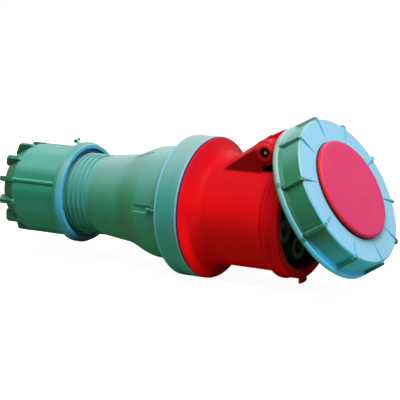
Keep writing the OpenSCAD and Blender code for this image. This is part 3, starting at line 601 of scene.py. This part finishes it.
def thread_growth(name):
    """A right-handed ridge that winds about X, with one flank taller than the other."""
    g = Growth(name, {"Start": 0.0, "Length": 0.05, "Radius": 0.04, "Pitch": 0.006,
                      "Ridge Width": 0.002, "Tall Flank": 0.004, "Low Flank": 0.002})
    given = g.given
    spiral = g.node("GeometryNodeCurveSpiral")
    g.feed(spiral.inputs["Resolution"], 72)
    g.feed(spiral.inputs["Reverse"], True)
    g.feed(spiral.inputs["Rotations"], g.math("DIVIDE", given["Length"], given["Pitch"]))
    g.feed(spiral.inputs["Start Radius"], given["Radius"])
    g.feed(spiral.inputs["End Radius"], given["Radius"])
    g.feed(spiral.inputs["Height"], given["Length"])
    upright = g.node("GeometryNodeSetCurveNormal", mode="Z_UP")
    g.feed(upright.inputs["Curve"], spiral.outputs["Curve"])
    section = g.node("GeometryNodeCurvePrimitiveQuadrilateral", mode="TRAPEZOID")
    g.feed(section.inputs["Height"], given["Ridge Width"])
    g.feed(section.inputs["Bottom Width"], given["Tall Flank"])
    g.feed(section.inputs["Top Width"], given["Low Flank"])
    g.feed(section.inputs["Offset"], 0.0)
    sweep = g.node("GeometryNodeCurveToMesh")
    g.feed(sweep.inputs["Fill Caps"], True)
    g.feed(sweep.inputs["Curve"], upright.outputs[0])
    g.feed(sweep.inputs["Profile Curve"], section.outputs["Curve"])
    g.end(g.placed(sweep.outputs[0], (0, math.pi / 2, 0), (given["Start"], 0, 0)))
    return g


def tail_growth(name):
    """Low wedges on a round face, wide and high outside, that taper off inwards."""
    g = Growth(name, {"Count": 10, "Outer Radius": 0.07, "Inner Radius": 0.05,
                      "Width": 0.003, "Height": 0.001, "Thin End": 0.2,
                      "Tilt": 0.0, "Centre X": 0.0, "Centre Z": 0.0})
    given = g.given
    block = g.node("GeometryNodeMeshCube")
    g.feed(block.inputs["Size"], (1, 1, 1))
    apart = g.node("ShaderNodeSeparateXYZ")
    g.feed(apart.inputs[0], g.node("GeometryNodeInputPosition").outputs[0])
    # The cube's own X, Y and Z, each from -0.5 to 0.5, become height, width and radius
    high, wide, far = apart.outputs
    outward = g.math("ADD", far, 0.5)
    size = g.math("MULTIPLY_ADD", outward, g.math("SUBTRACT", 1.0, given["Thin End"]),
                  given["Thin End"])
    # Half of the height lies inside the face, and the top is slimmer than the foot
    height = g.math("MULTIPLY", g.math("MULTIPLY", high, size),
                    g.math("MULTIPLY", given["Height"], 2.0))
    slim = g.math("MULTIPLY_ADD", high, -0.8, 0.6)
    width = g.math("MULTIPLY", g.math("MULTIPLY", wide, g.math("MULTIPLY", size, slim)),
                   given["Width"])
    reach = g.math("SUBTRACT", given["Outer Radius"], given["Inner Radius"])
    radius = g.math("MULTIPLY_ADD", outward, reach, given["Inner Radius"])
    wedge = g.node("GeometryNodeSetPosition")
    g.feed(wedge.inputs["Geometry"], block.outputs[0])
    g.feed(wedge.inputs["Position"], g.triple(height, width, radius))
    spots = g.node("GeometryNodePoints")
    g.feed(spots.inputs["Count"], given["Count"])
    copies = g.node("GeometryNodeInstanceOnPoints")
    g.feed(copies.inputs["Points"], spots.outputs[0])
    g.feed(copies.inputs["Instance"], wedge.outputs[0])
    turn = g.math("DIVIDE", g.math("MULTIPLY", g.node("GeometryNodeInputIndex").outputs[0],
                                   2 * math.pi), given["Count"])
    g.feed(copies.inputs["Rotation"], g.triple(turn, 0, 0))
    g.end(g.placed(copies.outputs[0], (0, given["Tilt"], 0),
                   (given["Centre X"], 0, given["Centre Z"])))
    return g


def grown(name, growth, body, values):
    """Runs a tree, keeps its result as a plain mesh and lets it ride on a body."""
    seed = bpy.data.objects.new(name, bpy.data.meshes.new(name))
    scene.collection.objects.link(seed)
    grow = seed.modifiers.new("grow", "NODES")
    grow.node_group = growth.tree
    for label, value in values.items():
        grow[growth.identifiers[label]] = value
    dg = bpy.context.evaluated_depsgraph_get()
    mesh = bpy.data.meshes.new_from_object(seed.evaluated_get(dg))
    seed.modifiers.clear()
    seed.data = mesh
    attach(seed, body)


# The two threads stand half a pitch apart, so that their ridges pass each other
thread = thread_growth("coarse thread")
grown("neck_thread", thread, "housing", {
    "Start": NECK_THREAD_X, "Length": NECK_THREAD_LEN, "Radius": NECK_R + 0.3 * MM,
    "Pitch": THREAD_PITCH, "Ridge Width": 2.2 * MM, "Tall Flank": 4.4 * MM,
    "Low Flank": 1.6 * MM, "Finish": green_handle})
grown("nut_thread", thread, "nut", {
    "Start": NECK_THREAD_X + THREAD_PITCH / 2, "Length": 36 * MM, "Radius": NUT_BORE_R - 0.3 * MM,
    "Pitch": THREAD_PITCH, "Ridge Width": -2.0 * MM, "Tall Flank": 4.0 * MM,
    "Low Flank": 1.2 * MM, "Finish": green_nut})

ring_centre = LID_CENTRE + LID_AXIS * RING_FACE
grown("rib_tails", tail_growth("rib tails"), "ring", {
    "Count": RING_RIBS, "Outer Radius": RING_PANEL_R - 1.0 * MM,
    "Inner Radius": DISC_R + 4.5 * MM, "Width": 6.6 * MM, "Height": 1.5 * MM, "Thin End": 0.1,
    "Tilt": -LID_OPEN, "Centre X": ring_centre.x, "Centre Z": ring_centre.z,
    "Finish": blue_tails})


def stage_finish():
    """Floor that looks white, keeps the shadow and throws little light upwards."""
    s = Shades("studio white")
    path = s.node("ShaderNodeLightPath").outputs
    seen = s.math("MAXIMUM", path["Is Camera Ray"], path["Is Transmission Ray"])
    bright = s.node("ShaderNodeBsdfDiffuse")
    s.feed(bright.inputs["Color"], (0.55, 0.55, 0.55, 1))
    dim = s.node("ShaderNodeBsdfDiffuse")
    s.feed(dim.inputs["Color"], (0.27, 0.30, 0.24, 1))
    glow = s.node("ShaderNodeEmission")
    s.feed(glow.inputs["Strength"], 0.92)
    lit = s.node("ShaderNodeAddShader")
    s.feed(lit.inputs[0], bright.outputs[0])
    s.feed(lit.inputs[1], glow.outputs[0])
    pick = s.node("ShaderNodeMixShader")
    s.feed(pick.inputs[0], seen)
    s.feed(pick.inputs[1], dim.outputs[0])
    s.feed(pick.inputs[2], lit.outputs[0])
    return s.end(pick)


HALF_FLOOR = 9
mesh = bpy.data.meshes.new("floor")
mesh.from_pydata([(x * HALF_FLOOR, y * HALF_FLOOR, FLOOR_Z)
                  for x, y in ((-1, -1), (1, -1), (1, 1), (-1, 1))], [], [(0, 1, 2, 3)])
floor = bpy.data.objects.new("floor", mesh)
scene.collection.objects.link(floor)
floor.data.materials.append(stage_finish())

# The world is white to the eye and in reflections, and a weak fill for everything else
FILL = 0.225
IN_REFLECTIONS = 0.75
world = bpy.data.worlds.new("studio")
scene.world = world
world.use_nodes = True
world.node_tree.nodes.clear()
w = Nodes(world.node_tree)
rays = w.node("ShaderNodeLightPath").outputs
level = w.math("MULTIPLY_ADD", rays["Is Glossy Ray"], IN_REFLECTIONS, FILL)
sky = w.node("ShaderNodeBackground")
w.feed(sky.inputs["Strength"], w.math("ADD", level, rays["Is Camera Ray"]))
w.feed(sky.inputs["Color"], (0.97, 0.99, 1.0, 1))
w.feed(w.node("ShaderNodeOutputWorld").inputs["Surface"], sky.outputs[0])


def look(obj, place, aim):
    """Puts a lamp or the camera at a place and turns it towards a point."""
    obj.location = place
    obj.rotation_mode = "QUATERNION"
    obj.rotation_quaternion = (Vector(aim) - Vector(place)).to_track_quat("-Z", "Y")
    scene.collection.objects.link(obj)


def soft_light(name, place, size, watts):
    lamp = bpy.data.lights.new(name, "AREA")
    lamp.shape = "SQUARE"
    lamp.size = size
    lamp.energy = watts
    obj = bpy.data.objects.new(name, lamp)
    look(obj, place, MIDDLE)
    return obj


MIDDLE = (-0.13, 0, 0)
soft_light("key light", (0.30, -0.55, 1.25), 0.9, 38.5)
soft_light("right light", (1.2, -0.2, 0.75), 0.8, 4)
# Shows only as a reflection along the tops
soft_light("back light", (-0.2, 1.0, 0.95), 1.1, 9).visible_diffuse = False

camera = bpy.data.objects.new("camera", bpy.data.cameras.new("camera"))
look(camera, Vector((643.1, -1185.3, 263.7)) * MM, Vector((-118.6, -0.1, 5.5)) * MM)
scene.camera = camera
camera.data.sensor_width = 36
camera.data.lens = 131.4
camera.data.clip_start = 0.05
camera.data.clip_end = 60

scene.view_settings.view_transform = "Standard"
